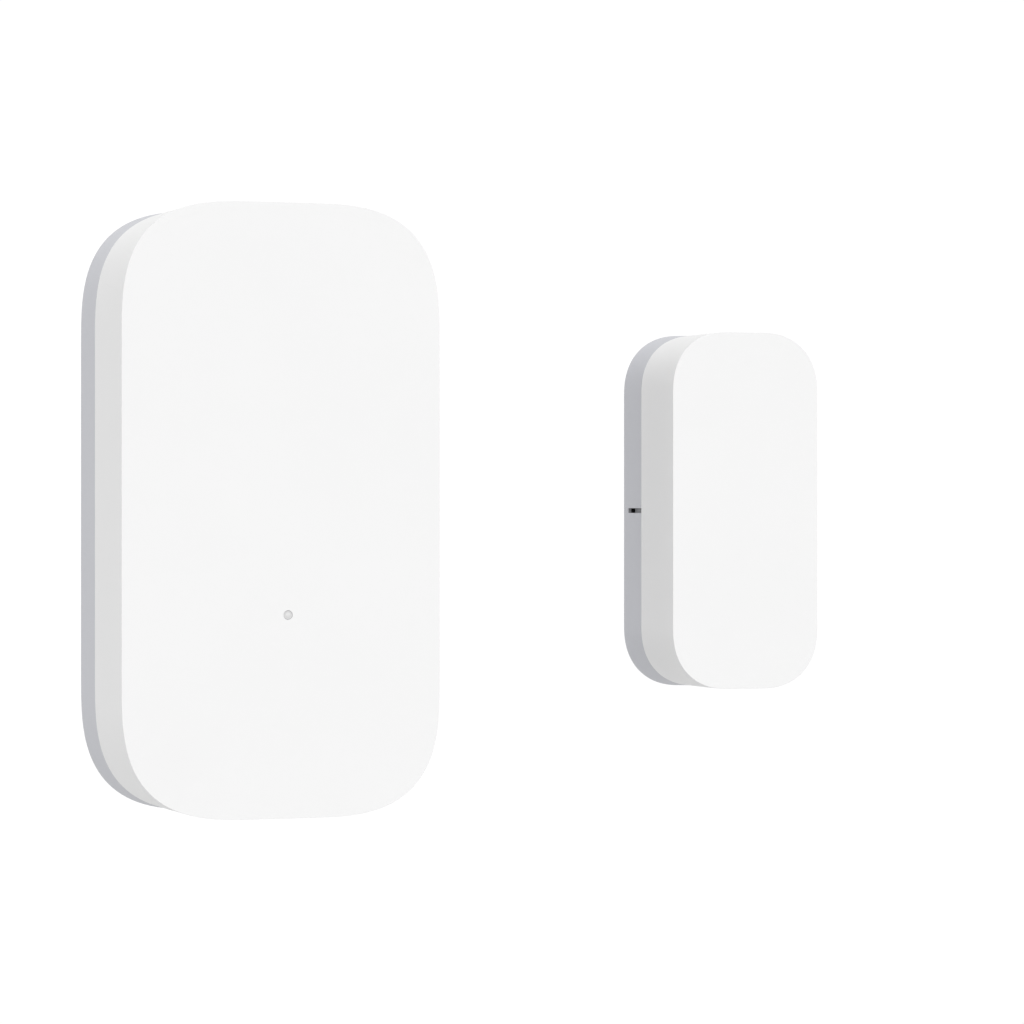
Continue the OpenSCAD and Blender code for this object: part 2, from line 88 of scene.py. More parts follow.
class Material:
    """A node material, with short ways to add the nodes that the pieces here need."""

    def __init__(self, name, color, roughness=0.5, metallic=0.0, inputs=None):
        self.data = bpy.data.materials.new(name)
        self.data.use_nodes = True
        self.tree = self.data.node_tree
        self.shader = self.tree.nodes["Principled BSDF"]
        self.color = color
        self.shader.inputs["Base Color"].default_value = color
        self.shader.inputs["Roughness"].default_value = roughness
        self.shader.inputs["Metallic"].default_value = metallic
        for key, value in (inputs or {}).items():
            self.shader.inputs[key].default_value = value
        self.roughness = roughness
        self.height = None

    def node(self, kind, **values):
        """A new node, with its sockets or properties set by name."""
        made = self.tree.nodes.new(kind)
        for key, value in values.items():
            if key in made.inputs:
                made.inputs[key].default_value = value
            else:
                setattr(made, key, value)
        return made

    def link(self, source, target):
        """Joins two sockets."""
        self.tree.links.new(source, target)

    def position(self, stretch=(1, 1, 1)):
        """Object coordinates, stretched along each axis."""
        place = self.node("ShaderNodeTexCoord")
        mapping = self.node("ShaderNodeMapping")
        mapping.inputs["Scale"].default_value = stretch
        self.link(place.outputs["Object"], mapping.inputs["Vector"])
        return mapping.outputs["Vector"]

    def noise(self, per_mm, detail=2.0, stretch=(1, 1, 1)):
        """Noise with about that many grains to the millimetre."""
        made = self.node("ShaderNodeTexNoise", Scale=per_mm / MM, Detail=detail, Roughness=0.55)
        self.link(self.position(stretch), made.inputs["Vector"])
        return made.outputs["Fac"]

    def mottle(self, other, per_mm, detail=2.0, stretch=(1, 1, 1)):
        """Blends the base colour towards another one, by noise."""
        ramp = self.node("ShaderNodeMapRange")
        ramp.inputs["From Min"].default_value = MOTTLE_RANGE[0]
        ramp.inputs["From Max"].default_value = MOTTLE_RANGE[1]
        self.link(self.noise(per_mm, detail, stretch), ramp.inputs["Value"])
        mix = self.node("ShaderNodeMix", data_type="RGBA")
        mix.inputs["A"].default_value = self.color
        mix.inputs["B"].default_value = other
        self.link(ramp.outputs["Result"], mix.inputs["Factor"])
        self.link(mix.outputs["Result"], self.shader.inputs["Base Color"])
        return self

    def uneven_gloss(self, per_mm, spread, stretch=(1, 1, 1)):
        """Varies the roughness by noise, up and down by spread."""
        ramp = self.node("ShaderNodeMapRange")
        ramp.inputs["To Min"].default_value = max(0.0, self.roughness - spread)
        ramp.inputs["To Max"].default_value = min(1.0, self.roughness + spread)
        self.link(self.noise(per_mm, 3.0, stretch), ramp.inputs["Value"])
        self.link(ramp.outputs["Result"], self.shader.inputs["Roughness"])
        return self

    def grain(self, per_mm, depth_mm, strength=1.0, detail=2.0, stretch=(1, 1, 1)):
        """Raises the surface by noise that is depth_mm deep."""
        bump = self.node("ShaderNodeBump", Strength=strength, Distance=depth_mm * MM)
        self.link(self.noise(per_mm, detail, stretch), bump.inputs["Height"])
        if self.height is not None:
            self.link(self.height.outputs["Normal"], bump.inputs["Normal"])
        self.link(bump.outputs["Normal"], self.shader.inputs["Normal"])
        self.height = bump
        return self


def moulded(name, color, other):
    """Fine-textured moulded plastic."""
    made = Material(name, color, roughness=0.55, inputs={"Specular IOR Level": 0.35})
    made.mottle(other, 0.12).uneven_gloss(1.4, 0.05)
    return made.grain(9.0, 0.0012, 0.5, detail=3.0).data


def sheet_metal(name, color, other, roughness=0.28, stretch=(1, 1, 12)):
    """Rolled or drawn metal, with fine lines along one axis."""
    made = Material(name, color, roughness=roughness, metallic=1.0)
    made.mottle(other, 1.1, stretch=stretch).uneven_gloss(2.5, 0.08, stretch)
    return made.grain(6.0, 0.0015, 0.6, stretch=stretch).data


WHITE = moulded("white_plastic", srgb(229, 229, 229), srgb(228, 228, 228))
GREY = moulded("grey_plastic", srgb(194, 195, 200), srgb(193, 194, 199))
# Painted shade: a darker grey for the notch's faces and a near-black for its pocket, standing in
# for the shade inside the narrow slot.
NOTCH_PAINTED_SHADE = moulded("notch_painted_shade", srgb(164, 165, 168), srgb(160, 161, 164))
NOTCH_POCKET_PAINTED_SHADOW = moulded("notch_pocket_painted_shadow", srgb(26, 26, 27), srgb(22, 22, 23))
BUTTON = moulded("button_plastic", srgb(198, 199, 202), srgb(193, 194, 199))

STEEL = sheet_metal("spring_steel", srgb(198, 200, 203), srgb(180, 183, 187))
CELL = (
    Material("cell_steel", srgb(206, 207, 209), roughness=0.24, metallic=1.0)
    .mottle(srgb(198, 199, 202), 5.0, stretch=(1, 1, 8))
    .uneven_gloss(6.0, 0.05, (1, 1, 8))
    .grain(9.0, 0.0008, 0.5, stretch=(1, 1, 8))
    .data
)
TIN = sheet_metal("tinned_wire", srgb(206, 207, 209), srgb(188, 189, 192), 0.3, (3, 3, 1))
GOLD = sheet_metal("gold_plating", srgb(218, 180, 104), srgb(204, 164, 88), 0.3, (1, 1, 1))
NICKEL = (
    Material("nickel_plating", srgb(204, 205, 207), roughness=0.22, metallic=1.0)
    .mottle(srgb(198, 199, 201), 6.0)
    .uneven_gloss(7.0, 0.04)
    .grain(12.0, 0.0008, 0.5)
    .data
)

BLACK_RESIN = (
    Material("black_resin", srgb(38, 38, 40), roughness=0.62)
    .mottle(srgb(46, 46, 48), 3.0)
    .uneven_gloss(4.0, 0.08)
    .grain(14.0, 0.003, 0.7)
    .data
)
MASK = (
    Material("solder_mask", srgb(22, 84, 50), roughness=0.3, inputs={"Coat Weight": 0.25})
    .mottle(srgb(28, 96, 58), 0.6)
    .uneven_gloss(1.5, 0.06)
    .grain(3.0, 0.002, 0.4)
    .data
)
FOAM = (
    Material("foam_tape", srgb(222, 224, 225), roughness=0.9, inputs={"Sheen Weight": 0.1})
    .mottle(srgb(212, 214, 216), 7.0, detail=3.0)
    .grain(9.0, 0.012, 0.6, detail=3.0)
    .data
)
SOLDER = (
    Material("solder", srgb(200, 202, 205), roughness=0.3, metallic=1.0)
    .mottle(srgb(180, 183, 187), 2.0)
    .grain(4.0, 0.006, 0.6)
    .data
)
CERAMIC = (
    Material("capacitor_ceramic", srgb(168, 134, 98), roughness=0.6)
    .mottle(srgb(150, 118, 84), 2.2)
    .grain(10.0, 0.003, 0.6)
    .data
)
TANTALUM = (
    Material("tantalum_resin", srgb(218, 168, 62), roughness=0.55)
    .mottle(srgb(206, 154, 52), 1.5)
    .grain(8.0, 0.003, 0.6)
    .data
)
GASKET = (
    Material("cell_gasket", srgb(58, 62, 76), roughness=0.5)
    .mottle(srgb(50, 54, 66), 1.5)
    .grain(6.0, 0.002, 0.5)
    .data
)
DIFFUSER = (
    Material("diffuser", srgb(214, 214, 214), roughness=0.4)
    .mottle(srgb(211, 211, 211), 2.0)
    .grain(8.0, 0.001, 0.4)
    .data
)
# Painted shade: a darker grey for the light pipe's rim, standing in for the shade in the gap round
# its tip.
DIFFUSER_RIM_PAINTED_SHADE = (
    Material("diffuser_rim_painted_shade", srgb(203, 203, 203), roughness=0.4)
    .mottle(srgb(200, 200, 200), 2.0)
    .grain(8.0, 0.001, 0.4)
    .data
)
LED_RESIN = (
    Material("led_resin", srgb(236, 214, 120), roughness=0.25, inputs={"Coat Weight": 0.4})
    .mottle(srgb(228, 200, 96), 3.0)
    .grain(6.0, 0.002, 0.4)
    .data
)
GLASS = (
    Material("reed_glass", srgb(206, 232, 216), roughness=0.03,
             inputs={"Transmission Weight": 0.9, "IOR": 1.5})
    .mottle(srgb(196, 226, 208), 0.5)
    .grain(0.6, 0.002, 0.3)
    .data
)
TRACE = (
    Material("masked_copper", srgb(44, 116, 70), roughness=0.3, inputs={"Coat Weight": 0.25})
    .mottle(srgb(38, 106, 64), 1.5)
    .grain(3.0, 0.002, 0.4)
    .data
)
INK = (
    Material("legend_ink", srgb(228, 229, 226), roughness=0.6)
    .mottle(srgb(214, 216, 213), 4.0)
    .grain(12.0, 0.002, 0.5)
    .data
)
ALUMINA = (
    Material("white_ceramic", srgb(226, 224, 216), roughness=0.5)
    .mottle(srgb(216, 213, 204), 3.0)
    .grain(10.0, 0.002, 0.5)
    .data
)
STRIPE = (
    Material("polarity_stripe", srgb(112, 66, 26), roughness=0.55)
    .mottle(srgb(98, 56, 20), 3.0)
    .grain(8.0, 0.002, 0.5)
    .data
)
FLOOR = (
    Material("floor", srgb(216, 216, 216), roughness=0.9, inputs={"Specular IOR Level": 0.1})
    .mottle(srgb(214, 214, 214), 0.01)
    .data
)

# ------------------------------------------------------------------ meshes


def add_object(name, mesh_bm, material=None):
    """A new object from a bmesh in millimetres, whose normals are made to point outwards."""
    bmesh.ops.recalc_face_normals(mesh_bm, faces=mesh_bm.faces)
    bmesh.ops.scale(mesh_bm, vec=(MM, MM, MM), verts=mesh_bm.verts)
    data = bpy.data.meshes.new(name)
    mesh_bm.to_mesh(data)
    mesh_bm.free()
    made = bpy.data.objects.new(name, data)
    bpy.context.scene.collection.objects.link(made)
    if material is not None:
        data.materials.append(material)
    return made


def loft(rings, closed=False):
    """Joins rings of points by quads, and caps the first and the last or joins them too."""
    bm = bmesh.new()
    loops = [[bm.verts.new(p) for p in ring] for ring in rings]
    count = len(loops[0])
    for a, b in zip(loops, loops[1:] + loops[:1] if closed else loops[1:]):
        for i in range(count):
            j = (i + 1) % count
            bm.faces.new((a[i], a[j], b[j], b[i]))
    if not closed:
        bm.faces.new(loops[0])
        bm.faces.new(loops[-1])
    return bm


def block(low, high):
    """A box between two corners."""
    (x0, y0, z0), (x1, y1, z1) = low, high
    rings = [[(x0, y, z0), (x1, y, z0), (x1, y, z1), (x0, y, z1)] for y in (y0, y1)]
    return loft(rings)


def turned(x, z, profile, steps=48):
    """A round piece about an axis along Y, from (radius, y) pairs."""
    angles = [2 * math.pi * i / steps for i in range(steps)]
    rings = [[(x + r * math.cos(a), y, z + r * math.sin(a)) for a in angles] for r, y in profile]
    return loft(rings)


def prism(points, axis, low, high):
    """A flat outline extruded along axis 0, 1 or 2.

    Its points give the other two axes, in order.
    """
    rings = []
    for level in (low, high):
        ring = []
        for point in points:
            corner = list(point)
            corner.insert(axis, level)
            ring.append(corner)
        rings.append(ring)
    return loft(rings)


def bake_modifiers(obj):
    """Applies an object's modifiers to its mesh."""
    bpy.context.view_layer.update()
    graph = bpy.context.evaluated_depsgraph_get()
    data = bpy.data.meshes.new_from_object(obj.evaluated_get(graph))
    obj.modifiers.clear()
    obj.data = data


def combine(obj, parts, operation, material=None):
    """Adds parts to an object, or cuts them out of it, one after another.

    A material given here goes on the faces that the parts leave.
    """
    if material is not None:
        obj.data.materials.append(material)
    for part in parts:
        if material is not None:
            for face in part.faces:
                face.material_index = len(obj.data.materials) - 1
        tool = add_object("tool", part)
        step = obj.modifiers.new("combine", "BOOLEAN")
        step.operation = operation
        step.solver = "EXACT"
        step.object = tool
        bake_modifiers(obj)
        bpy.data.objects.remove(tool)
    return obj


EDGE_ANGLE = 30      # degrees at which an edge counts as sharp enough to round
SHADING_ANGLE = 40   # degrees at which shading breaks
SAME_PLANE_ANGLE = 1  # degrees within which neighbouring faces are one
SAME_POINT = 1e-7    # metres


def soften(obj, width=0.0):
    """Rounds an object's edges by width, and smooths its shading with flat faces kept flat."""
    if width:
        bm = bmesh.new()
        bm.from_mesh(obj.data)
        bmesh.ops.remove_doubles(bm, verts=bm.verts, dist=SAME_POINT)
        bmesh.ops.dissolve_limit(
            bm, angle_limit=math.radians(SAME_PLANE_ANGLE), verts=bm.verts, edges=bm.edges)
        bm.to_mesh(obj.data)
        bm.free()
        bevel = obj.modifiers.new("edges", "BEVEL")
        bevel.width = width * MM
        bevel.segments = 2
        bevel.limit_method = "ANGLE"
        bevel.angle_limit = math.radians(EDGE_ANGLE)
        bevel.use_clamp_overlap = True
        bake_modifiers(obj)
    obj.data.shade_smooth()
    obj.data.set_sharp_from_angle(angle=math.radians(SHADING_ANGLE))
    normals = obj.modifiers.new("normals", "WEIGHTED_NORMAL")
    normals.keep_sharp = True
    return obj


def assembled(name, parts):
    """One object from (bmesh, material) pairs, each a closed solid."""
    whole = bmesh.new()
    materials = []
    for part, material in parts:
        if material not in materials:
            materials.append(material)
        bmesh.ops.recalc_face_normals(part, faces=part.faces)
        for face in part.faces:
            face.material_index = materials.index(material)
        data = bpy.data.meshes.new("part")
        part.to_mesh(data)
        part.free()
        whole.from_mesh(data)
        bpy.data.meshes.remove(data)
    made = add_object(name, whole)
    for material in materials:
        made.data.materials.append(material)
    return made


def ring_of(axis, centre, profile, steps=48):
    """A closed ring about an axis along 1 (Y) or 2 (Z), from a loop of (radius, level) pairs."""
    rings = []
    for radius, level in profile:
        ring = []
        for i in range(steps):
            a = 2 * math.pi * i / steps
            point = [centre[0] + radius * math.cos(a), centre[1] + radius * math.sin(a)]
            point.insert(axis, level)
            ring.append(point)
        rings.append(ring)
    return loft(rings, closed=True)


def arc(centre, radius, start, end, steps=6):
    """Points of an arc, with angles in degrees."""
    points = []
    for i in range(steps + 1):
        a = math.radians(start + (end - start) * i / steps)
        points.append((centre[0] + radius * math.cos(a), centre[1] + radius * math.sin(a)))
    return points


def wire(x, path, radius, steps=16):
    """A round wire at one X along a path of (y, z) points."""
    rings = []
    for i, (y, z) in enumerate(path):
        before = path[max(i - 1, 0)]
        after = path[min(i + 1, len(path) - 1)]
        dy, dz = after[0] - before[0], after[1] - before[1]
        length = math.hypot(dy, dz)
        side = (-dz / length, dy / length)
        ring = []
        for k in range(steps):
            a = 2 * math.pi * k / steps
            c = radius * math.cos(a)
            ring.append((x + radius * math.sin(a), y + side[0] * c, z + side[1] * c))
        rings.append(ring)
    return loft(rings)


def solids_of(node):
    """Lowest and highest corner of each separate solid of a CAD node, in millimetres."""
    bm = bmesh.new()
    bm.from_mesh(frame["nodes"][node].data)
    bmesh.ops.remove_doubles(bm, verts=bm.verts, dist=SAME_POINT)
    left = set(bm.verts)
    boxes = []
    while left:
        group = [left.pop()]
        for vert in group:
            for edge in vert.link_edges:
                other = edge.other_vert(vert)
                if other in left:
                    left.remove(other)
                    group.append(other)
        points = [vert.co / MM for vert in group]
        boxes.append((Vector([min(p[i] for p in points) for i in range(3)]),
                      Vector([max(p[i] for p in points) for i in range(3)])))
    bm.free()
    return sorted(boxes, key=lambda box: tuple(round(value, 3) for value in box[0]))


def place(obj, slot, node):
    """Puts a piece on the body of the CAD node it replaces."""
    bodies = frame["record"]["behaviour"]["bodies"]
    body = next(name for name, members in bodies.items() if node in members)
    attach(obj, body)
    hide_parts(node)
    return obj


def fitted(obj, slot, node, edge=0.0):
    """Finishes a piece: rounded edges, smooth shading, and the body of the CAD node it replaces."""
    return place(soften(obj, edge), slot, node)


def refined(node, name, material, slot, edge):
    """A copy of a CAD node with rounded edges, in its place."""
    made = bpy.data.objects.new(name, frame["nodes"][node].data.copy())
    bpy.context.scene.collection.objects.link(made)
    made.data.materials.clear()
    made.data.materials.append(material)
    return fitted(made, slot, node, edge)


# ------------------------------------------------------------------ shells


class Unit:
    """The outline and levels of one of the two units."""

    def __init__(self, front, back, reach, power):
        low, high = cad_box(front)
        self.x = (low.x + high.x) / 2
        self.w = high.x - low.x
        self.h = high.z - low.z
        self.front = low.y
        back_low, back_high = cad_box(back)
        self.proud = (back_high.x - back_low.x - self.w) / 2
        self.lip_tip = back_low.y
        self.seam = high.y + SEAM_GAP
        self.back = back_high.y
        self.reach = reach
        self.power = power

    def ring(self, grow, y):
        """The outline at one level, grown by `grow` on each side: four superellipse corners."""
        reach = self.reach + grow
        half_w = self.w / 2 + grow - reach
        half_h = self.h / 2 + grow - reach
        points = []
        for quarter in range(4):
            side = 1 if quarter in (0, 3) else -1
            up = 1 if quarter < 2 else -1
            for i in range(CORNER_STEPS + 1):
                step = i if quarter % 2 == 0 else CORNER_STEPS - i
                a = math.pi / 2 * step / CORNER_STEPS
                across = max(0.0, math.cos(a)) ** (2 / self.power)
                along = max(0.0, math.sin(a)) ** (2 / self.power)
                x = self.x + side * (half_w + reach * across)
                points.append((x, y, up * (half_h + reach * along)))
        return points

    def solid(self, name, profile, material):
        """A closed shell from (growth, level) pairs, from its outer face to its inner one."""
        bm = loft([self.ring(grow, y) for grow, y in profile])
        bmesh.ops.remove_doubles(bm, verts=bm.verts, dist=SAME_CORNER)
        return add_object(name, bm, material)


SAME_CORNER = 1e-5  # points of an outline closer than this are one
SEAM_GAP = 0.04
SEAM_EDGE = 0.03    # chamfer along both sides of the seam
WALL = 1.2
WALL_ROOT = 0.3     # size of the hollow between a wall and the floor inside
WALL_ROOT_MID = 0.09
RIM_INNER_EDGE = 0.06
LIP_GAP = 0.1
LIP = 0.8
LIP_FOOT = 0.3      # depth of the step beside the lip
LIP_LEAD_IN = 0.12
LIP_INNER_EDGE = 0.08
FACE_EDGE = 0.012   # radius round the front face
BACK_EDGE = 0.04
PAD_POCKET = 0.3
PAD_POCKET_EDGE = 0.05
LIP_OUTER = WALL + LIP_GAP
LIP_INNER = LIP_OUTER + LIP

sensor = Unit("sensor_front_cover", "sensor_back_cover", reach=9.0, power=2.95)
magnet = Unit("magnet_front_cover", "magnet_back_cover", reach=4.2, power=2.27)


def quarter_round(radius, grow, y, facing, steps=5):
    """(growth, level) pairs round an outer edge whose faces meet at grow and y.

    facing is 1 where the flat face looks towards -Y and -1 where it looks towards +Y.
    """
    pairs = []
    for i in range(steps + 1):
        a = math.pi / 2 * i / steps
        pairs.append((grow - radius * (1 - math.sin(a)), y + facing * radius * (1 - math.cos(a))))
    return pairs


def wall_root(grow, y, facing):
    """(growth, level) pairs of the hollow corner between an inner wall and a floor at y."""
    return [
        (grow, y + facing * WALL_ROOT),
        (grow - WALL_ROOT_MID, y + facing * WALL_ROOT_MID),
        (grow - WALL_ROOT, y)]


def front_cover(unit, name):
    """A white front cover without its inner fittings."""
    rim = unit.seam - SEAM_GAP
    profile = quarter_round(FACE_EDGE, 0, unit.front, 1)
    profile += [(0, rim - SEAM_EDGE), (-SEAM_EDGE, rim)]
    profile += [(RIM_INNER_EDGE - WALL, rim), (-WALL, rim - RIM_INNER_EDGE)]
    profile += wall_root(-WALL, unit.front + WALL, 1)
    return unit.solid(name, profile, WHITE)


def back_cover(unit, name, pocket_inset):
    """A grey back cover with its lip and pad pocket, flaring a little towards the wall."""
    profile = [(-pocket_inset, unit.back - PAD_POCKET)]
    profile += [(-pocket_inset, unit.back - PAD_POCKET_EDGE)]
    profile += [(PAD_POCKET_EDGE - pocket_inset, unit.back)]
    profile += quarter_round(BACK_EDGE, unit.proud, unit.back, -1)
    profile += [(0, unit.seam + SEAM_EDGE), (-SEAM_EDGE, unit.seam), (-WALL, unit.seam)]
    profile += [(-WALL, unit.seam + LIP_FOOT), (-LIP_OUTER, unit.seam + LIP_FOOT)]
    profile += [(-LIP_OUTER, unit.lip_tip + LIP_LEAD_IN), (-LIP_OUTER - LIP_LEAD_IN, unit.lip_tip)]
    profile += [(-LIP_INNER + LIP_INNER_EDGE, unit.lip_tip)]
    profile += [(-LIP_INNER, unit.lip_tip + LIP_INNER_EDGE)]
    profile += wall_root(-LIP_INNER, unit.back - WALL, -1)
    return unit.solid(name, profile, GREY)


def side_strips(unit, inset, half_t, deep, shallow, half_l):
    """A strip along each long wall, centred `inset` inside its face.

    It runs from `deep` to `shallow` in front of the seam.
    """
    strips = []
    for side in (-1, 1):
        x = unit.x + side * (unit.w / 2 - inset)
        strips.append(block((x - half_t, unit.seam - deep, -half_l),
                            (x + half_t, unit.seam - shallow, half_l)))
    return strips


GROOVE_T = 0.25  # how far the snap grooves go into the wall
BEAD_T = 0.08    # how far the snap beads stand out from the lip
RIB_T = 0.3      # half the thickness of a rib
EMBED = 0.1      # how far a fitting starts inside the wall that it stands on

# ---- sensor unit's front cover

inner_front = sensor.front + WALL  # inner side of the sensor unit's front wall
board_low, board_high = cad_box("circuit_board")
light_low, light_high = cad_box("light_pipe")
light_x = (light_low.x + light_high.x) / 2
light_z = (light_low.z + light_high.z) / 2
button_low, button_high = cad_box("reset_button")
button_y = (button_low.y + button_high.y) / 2
POST_X = sensor.w / 2 - 4
POST_Z = sensor.h / 2 - 4.7
POST_R = 1.1
POST_ROOT_R = 1.3
PEG_R = 0.45       # in the board's hole
STAKE_R = 0.76     # melted over the board
COVER_RIB_ZS = (-13, 8)
COVER_RIB_L = 6
COVER_RIB_H = 0.6
COLLAR_R = 1.5     # holds the light pipe
PIPE_BORE_R = 1.01
BUTTON_HOLE_W = 5
BUTTON_HOLE_H = 1.7
HOLE_R = 0.31


def pill(w, h, y, steps=24):
    """A slot outline with round ends, centred at y."""
    r = h / 2
    points = []
    for side in (1, -1):
        for i in range(steps + 1):
            a = -math.pi / 2 + math.pi * i / steps
            points.append((side * ((w - h) / 2 + r * math.cos(a)), y + side * r * math.sin(a)))
    return points


post = [
    (POST_ROOT_R, inner_front - EMBED), (POST_ROOT_R, inner_front + 0.02),
    (POST_R, inner_front + 0.25), (POST_R, board_low.y),
    (PEG_R, board_low.y), (PEG_R, board_high.y),
    (STAKE_R, board_high.y), (STAKE_R, board_high.y + 0.08),
    (0.6, board_high.y + 0.2), (0.3, board_high.y + 0.25)]
added = [turned(x, z, post) for x in (-POST_X, POST_X) for z in (-POST_Z, POST_Z)]
for z in COVER_RIB_ZS:
    added.append(block((-COVER_RIB_L, inner_front - EMBED, z - RIB_T),
                       (COVER_RIB_L, inner_front + COVER_RIB_H, z + RIB_T)))
added.append(turned(light_x, light_z, [
    (COLLAR_R, inner_front - EMBED), (COLLAR_R, inner_front + 1.15),
    (COLLAR_R - 0.05, inner_front + 1.2)]))
removed = [
    turned(light_x, light_z, [(PIPE_BORE_R, inner_front), (PIPE_BORE_R, inner_front + 3)]),
    turned(light_x, light_z, [
        (HOLE_R + 0.02, sensor.front - 0.01), (HOLE_R, sensor.front + 0.01),
        (HOLE_R, inner_front + 0.1)]),
    prism(pill(BUTTON_HOLE_W, BUTTON_HOLE_H, button_y), 2,
          sensor.h / 2 - WALL - 1, sensor.h / 2 + 1)]
removed += side_strips(sensor, WALL, GROOVE_T, 1.25, 0.55, 8)
cover = front_cover(sensor, "front_cover_white")
combine(cover, added, "UNION")
combine(cover, removed, "DIFFERENCE")
fitted(cover, "white_shell", "sensor_front_cover")

# ---- sensor unit's back cover

NOTCH_H = 0.34
NOTCH_L = 2.2
NOTCH_D = 0.3
NOTCH_POCKET_L = 0.32
NOTCH_POCKET_D = 1.0
NOTCH_SHADE = 0.14  # depth past which the pocket's end wall is painted near-black as shade
FLOOR_RIB_H = 0.35


def cut_notch(obj, unit, side):
    """Cuts an alignment notch: a slot back from the seam, with a deeper pocket at its far end. The
    slot's faces are painted a darker grey and the pocket's a near-black, as painted shade.
    """
    wall = unit.x + side * unit.w / 2
    end = unit.seam + NOTCH_L

    def box(out, depth, y0, y1):
        """A box from `out` outside the wall's face to `depth` inside it."""
        xs = sorted((wall + side * out, wall - side * depth))
        return block((xs[0], y0, -NOTCH_H / 2), (xs[1], y1, NOTCH_H / 2))

    # The slot's faces get a darker grey as painted shade, and the pocket's a near-black as painted
    # shadow.
    combine(obj, [box(1, NOTCH_D, unit.seam - 1, end - 0.002)], "DIFFERENCE", NOTCH_PAINTED_SHADE)
    pocket = box(-NOTCH_SHADE, NOTCH_POCKET_D, end - NOTCH_POCKET_L, end)
    combine(obj, [pocket], "DIFFERENCE", NOTCH_POCKET_PAINTED_SHADOW)


floor = sensor.back - WALL
rib_top = floor - FLOOR_RIB_H
ribs = [block((x - RIB_T, rib_top, -13), (x + RIB_T, floor + EMBED, 13)) for x in (-5, 0, 5)]
ribs += [block((-7, rib_top, z - RIB_T), (7, floor + EMBED, z + RIB_T)) for z in (-9, 0, 9)]
coin_slot = block(
    (-3, sensor.seam - 2, -sensor.h / 2 - 1), (3, sensor.seam + 0.9, -sensor.h / 2 + 0.9))
base = back_cover(sensor, "back_cover_grey", pocket_inset=2)
combine(base, ribs + side_strips(sensor, LIP_OUTER, BEAD_T, 1.1, 0.7, 7.5), "UNION")
combine(base, [coin_slot], "DIFFERENCE")
cut_notch(base, sensor, 1)
fitted(base, "grey_shell", "sensor_back_cover")

# ---- magnet unit's covers


def crossbar(half_w, half_t, y0, y1, z):
    """A bar across the magnet unit."""
    return block((magnet.x - half_w, y0, z - half_t), (magnet.x + half_w, y1, z + half_t))


bar_low, bar_high = cad_box("magnet_bar")
inner = magnet.front + WALL
lid = front_cover(magnet, "magnet_cover_white")
combine(lid, [crossbar(3, 0.4, inner - EMBED, bar_low.y - 0.05, z) for z in (-5, 5)], "UNION")
combine(lid, side_strips(magnet, WALL, GROOVE_T, 1.15, 0.45, 4.5), "DIFFERENCE")
fitted(lid, "white_shell", "magnet_front_cover")

bed = magnet.back - WALL + EMBED
stop_z = bar_high.z + 0.35
saddles = [crossbar(2.6, 0.4, bar_high.y + 0.01, bed, z) for z in (-5.5, 5.5)]
stops = [crossbar(1.8, RIB_T, bar_high.y - 1.4, bed, z) for z in (-stop_z, stop_z)]
tray = back_cover(magnet, "magnet_back_grey", pocket_inset=1.5)
combine(tray, saddles + stops + side_strips(magnet, LIP_OUTER, BEAD_T, 1, 0.6, 4), "UNION")
cut_notch(tray, magnet, -1)
fitted(tray, "grey_shell", "magnet_back_cover")

# ------------------------------------------------------------------ pads, magnet and inner parts

refined("sensor_adhesive_pad", "sensor_foam_pad", FOAM, "foam_tape", 0.08)
refined("magnet_adhesive_pad", "magnet_foam_pad", FOAM, "foam_tape", 0.08)
refined("magnet_bar", "bar_magnet", NICKEL, "magnet_plating", 0.35)

# The light pipe's lighter core is a separate cylinder, a hair proud of the rim round it, which is
# painted darker as shade.
PIPE_TIP_R = HOLE_R - 0.015
PIPE_CORE_R = 0.16
PIPE_ROD_R = 0.65
FLANGE_R = 1.0
flange_back = inner_front + 0.5
pipe_body = [
    (PIPE_TIP_R - 0.01, light_low.y), (PIPE_TIP_R, light_low.y + 0.01), (PIPE_TIP_R, inner_front),
    (FLANGE_R - 0.02, inner_front), (FLANGE_R, inner_front + 0.03),
    (FLANGE_R, inner_front + 0.46), (FLANGE_R - 0.04, flange_back),
    (PIPE_ROD_R, flange_back), (PIPE_ROD_R, light_high.y - 0.06), (PIPE_ROD_R - 0.06, light_high.y)]
pipe_core = [
    (PIPE_CORE_R - 0.01, light_low.y - 0.002), (PIPE_CORE_R, light_low.y + 0.003),
    (PIPE_CORE_R, light_low.y + 0.4)]
pipe = assembled("light_pipe_clear", [
    (turned(light_x, light_z, pipe_body), DIFFUSER_RIM_PAINTED_SHADE),
    (turned(light_x, light_z, pipe_core, 32), DIFFUSER)])
fitted(pipe, "clear_plastic", "light_pipe")

# ---- board, with its copper under the mask and its printed lines

COPPER_T = 0.015
PRINT_T = 0.012
TRACE_W = 0.2
VIA_R = 0.26
VIA_HOLE_R = 0.12
LINE_W = 0.12
MITRE = 0.35  # how far from a corner a trace turns off
board_front = board_low.y
board_rear = board_high.y
print_top = board_rear + PRINT_T


def chamfered(points):
    """A path of (x, z) points with its corners cut off at 45 degrees."""
    path = [Vector(points[0])]
    for before, corner, after in zip(points, points[1:], points[2:]):
        corner = Vector(corner)
        for other in (Vector(before), Vector(after)):
            leg = other - corner
            path.append(corner + leg * (min(MITRE, leg.length * 0.45) / leg.length))
    return path + [Vector(points[-1])]


